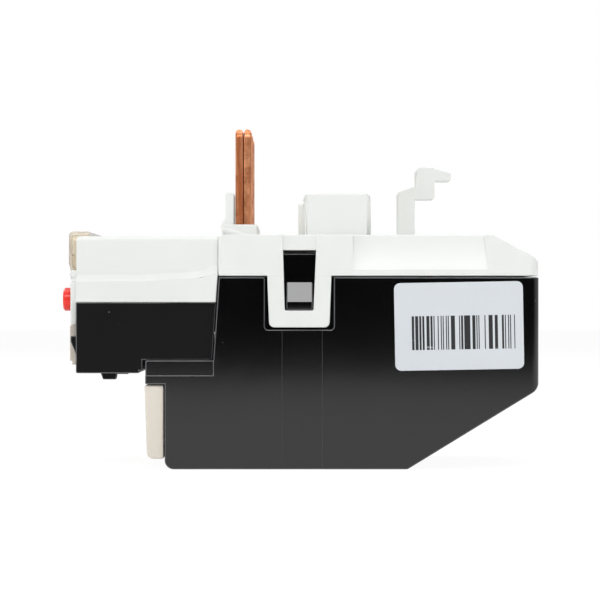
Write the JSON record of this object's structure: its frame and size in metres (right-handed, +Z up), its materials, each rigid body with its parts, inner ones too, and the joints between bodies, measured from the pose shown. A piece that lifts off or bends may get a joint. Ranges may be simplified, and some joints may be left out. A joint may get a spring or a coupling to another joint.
{
  "type": "thermal overload relay",
  "caption": "Plug-in thermal overload relay with blade pins, clip-on top cover, setting module under a clear flap, and front-access box terminals.",
  "frame": {"origin": "middle of the footprint, at the level of the underside", "axes": "+X to the mounting panel, +Y across the poles, +Z up to the contactor"},
  "size_m": [0.1102, 0.07, 0.0788],
  "materials": {
    "black_plastic": "fine moulded texture, satin",
    "white_plastic": "smooth moulded, satin",
    "cream_plastic": "smooth moulded, satin",
    "clear_plastic": "clear, polished",
    "red_plastic": "smooth",
    "blue_plastic": "smooth",
    "grey_plastic": "smooth moulded",
    "copper": "bare copper, rolled, slightly tarnished",
    "tinned_copper": "tin plated",
    "heater_alloy": "flat resistance wire",
    "bimetal": "rolled strip",
    "zinc_steel": "zinc plated",
    "spring_steel": "drawn wire",
    "brass": "stamped strip"
  },
  "bodies": {
    "relay_body": {"main_housing": "black_plastic", "top_cover": "white_plastic", "mounting_hook": "white_plastic", "power_terminal_shroud": "cream_plastic", "module_base": "black_plastic", "module_cover": "white_plastic", "module_screws": "zinc_steel", "aux_terminal_block": "cream_plastic", "trip_lever_pin": "spring_steel", "stop_spring": "spring_steel", "reset_spring": "spring_steel", "line_pin_1": "copper", "heater_1": "heater_alloy", "bimetal_1": "bimetal", "load_bar_1": "tinned_copper", "line_pin_2": "copper", "heater_2": "heater_alloy", "bimetal_2": "bimetal", "load_bar_2": "tinned_copper", "line_pin_3": "copper", "heater_3": "heater_alloy", "bimetal_3": "bimetal", "load_bar_3": "tinned_copper", "aux_contact_1": "brass", "aux_contact_2": "brass", "aux_contact_3": "brass", "aux_contact_4": "brass"},
    "flap": {"setting_flap": "clear_plastic"},
    "dial": {"setting_dial": "black_plastic"},
    "stop_push": {"stop_button": "red_plastic"},
    "reset_push": {"reset_plunger": "blue_plastic"},
    "reset_turn": {"reset_cap": "blue_plastic"},
    "test_slide": {"test_slider": "cream_plastic"},
    "overload": {"overload_slide": "grey_plastic"},
    "differential": {"differential_slide": "grey_plastic"},
    "differential_link": {"differential_lever": "grey_plastic"},
    "trip": {"trip_lever": "grey_plastic", "compensation_strip": "bimetal"},
    "contacts": {"contact_carrier": "grey_plastic", "bridge_closed": "brass", "bridge_open": "brass"},
    "terminal_screw_1": {"terminal_screw_1": "zinc_steel"},
    "clamp_1": {"clamp_cage_1": "zinc_steel"},
    "terminal_screw_2": {"terminal_screw_2": "zinc_steel"},
    "clamp_2": {"clamp_cage_2": "zinc_steel"},
    "terminal_screw_3": {"terminal_screw_3": "zinc_steel"},
    "clamp_3": {"clamp_cage_3": "zinc_steel"},
    "aux_clamp_1": {"aux_washer_1": "zinc_steel"},
    "aux_screw_1": {"aux_screw_1": "zinc_steel"},
    "aux_clamp_2": {"aux_washer_2": "zinc_steel"},
    "aux_screw_2": {"aux_screw_2": "zinc_steel"},
    "aux_clamp_3": {"aux_washer_3": "zinc_steel"},
    "aux_screw_3": {"aux_screw_3": "zinc_steel"},
    "aux_clamp_4": {"aux_washer_4": "zinc_steel"},
    "aux_screw_4": {"aux_screw_4": "zinc_steel"}
  },
  "joints": [
    {"name": "flap_hinge", "type": "hinge", "parent": "relay_body", "child": "flap", "pos_m": [-0.0525, 0, 0.0449], "axis": [0, -1, 0], "range_deg": [0, 95]},
    {"name": "dial_turn", "type": "hinge", "parent": "relay_body", "child": "dial", "pos_m": [-0.05, 0.012, 0.048], "axis": [1, 0, 0], "range_deg": [0, 220]},
    {"name": "stop_press", "type": "slide", "parent": "relay_body", "child": "stop_push", "axis": [1, 0, 0], "range_m": [0, 0.0015], "stiffness_N_per_m": 300, "springref_m": -0.003, "deforming": ["stop_spring"]},
    {"name": "reset_press", "type": "slide", "parent": "relay_body", "child": "reset_push", "axis": [1, 0, 0], "range_m": [0, 0.0015], "stiffness_N_per_m": 300, "springref_m": -0.003, "deforming": ["reset_spring"]},
    {"name": "reset_select", "type": "hinge", "parent": "reset_push", "child": "reset_turn", "pos_m": [-0.052, 0.026, 0.0392], "axis": [1, 0, 0], "range_deg": [0, 90]},
    {"name": "overload_travel", "type": "slide", "parent": "relay_body", "child": "overload", "axis": [0, 1, 0], "range_m": [0, 0.003]},
    {"name": "differential_lag", "type": "slide", "parent": "overload", "child": "differential", "axis": [0, 1, 0], "range_m": [-0.003, 0]},
    {"name": "differential_turn", "type": "hinge", "parent": "overload", "child": "differential_link", "pos_m": [0.004, -0.023, 0.045], "axis": [0, 0, 1], "range_deg": [-23, 0]},
    {"name": "trip_turn", "type": "hinge", "parent": "relay_body", "child": "trip", "pos_m": [-0.032, 0.0054, 0.0398], "axis": [0, 0, 1], "range_deg": [0, 18.4]},
    {"name": "contact_travel", "type": "slide", "parent": "relay_body", "child": "contacts", "axis": [1, 0, 0], "range_m": [0, 0.002]},
    {"name": "test_travel", "type": "slide", "parent": "relay_body", "child": "test_slide", "axis": [0, 1, 0], "range_m": [0, 0.002]},
    {"name": "terminal_screw_1_turn", "type": "hinge", "parent": "relay_body", "child": "terminal_screw_1", "pos_m": [-0.03, -0.022, 0.011], "axis": [1, 0, 0], "range_deg": [0, 1152]},
    {"name": "clamp_1_travel", "type": "slide", "parent": "relay_body", "child": "clamp_1", "axis": [-1, 0, 0], "range_m": [0, 0.0032]},
    {"name": "terminal_screw_2_turn", "type": "hinge", "parent": "relay_body", "child": "terminal_screw_2", "pos_m": [-0.03, 0, 0.011], "axis": [1, 0, 0], "range_deg": [0, 1152]},
    {"name": "clamp_2_travel", "type": "slide", "parent": "relay_body", "child": "clamp_2", "axis": [-1, 0, 0], "range_m": [0, 0.0032]},
    {"name": "terminal_screw_3_turn", "type": "hinge", "parent": "relay_body", "child": "terminal_screw_3", "pos_m": [-0.03, 0.022, 0.011], "axis": [1, 0, 0], "range_deg": [0, 1152]},
    {"name": "clamp_3_travel", "type": "slide", "parent": "relay_body", "child": "clamp_3", "axis": [-1, 0, 0], "range_m": [0, 0.0032]},
    {"name": "aux_clamp_1_travel", "type": "slide", "parent": "relay_body", "child": "aux_clamp_1", "axis": [1, 0, 0], "range_m": [0, 0.0025]},
    {"name": "aux_screw_1_turn", "type": "hinge", "parent": "aux_clamp_1", "child": "aux_screw_1", "pos_m": [-0.05, -0.018, 0.029], "axis": [1, 0, 0], "range_deg": [0, 1500]},
    {"name": "aux_clamp_2_travel", "type": "slide", "parent": "relay_body", "child": "aux_clamp_2", "axis": [1, 0, 0], "range_m": [0, 0.0025]},
    {"name": "aux_screw_2_turn", "type": "hinge", "parent": "aux_clamp_2", "child": "aux_screw_2", "pos_m": [-0.05, -0.006, 0.029], "axis": [1, 0, 0], "range_deg": [0, 1500]},
    {"name": "aux_clamp_3_travel", "type": "slide", "parent": "relay_body", "child": "aux_clamp_3", "axis": [1, 0, 0], "range_m": [0, 0.0025]},
    {"name": "aux_screw_3_turn", "type": "hinge", "parent": "aux_clamp_3", "child": "aux_screw_3", "pos_m": [-0.05, 0.006, 0.029], "axis": [1, 0, 0], "range_deg": [0, 1500]},
    {"name": "aux_clamp_4_travel", "type": "slide", "parent": "relay_body", "child": "aux_clamp_4", "axis": [1, 0, 0], "range_m": [0, 0.0025]},
    {"name": "aux_screw_4_turn", "type": "hinge", "parent": "aux_clamp_4", "child": "aux_screw_4", "pos_m": [-0.05, 0.018, 0.029], "axis": [1, 0, 0], "range_deg": [0, 1500]}
  ],
  "couplings": [
    {"joint": "differential_turn", "follows": "differential_lag", "rad_per_m": 133.33},
    {"joint": "trip_turn", "follows": "overload_travel", "rad_per_m": 106.67},
    {"joint": "contact_travel", "follows": "overload_travel", "ratio": 0.666},
    {"joint": "test_travel", "follows": "overload_travel", "ratio": 0.666},
    {"joint": "terminal_screw_1_turn", "follows": "clamp_1_travel", "rad_per_m": 6283.2},
    {"joint": "terminal_screw_2_turn", "follows": "clamp_2_travel", "rad_per_m": 6283.2},
    {"joint": "terminal_screw_3_turn", "follows": "clamp_3_travel", "rad_per_m": 6283.2},
    {"joint": "aux_screw_1_turn", "follows": "aux_clamp_1_travel", "rad_per_m": 10472},
    {"joint": "aux_screw_2_turn", "follows": "aux_clamp_2_travel", "rad_per_m": 10472},
    {"joint": "aux_screw_3_turn", "follows": "aux_clamp_3_travel", "rad_per_m": 10472},
    {"joint": "aux_screw_4_turn", "follows": "aux_clamp_4_travel", "rad_per_m": 10472}
  ]
}
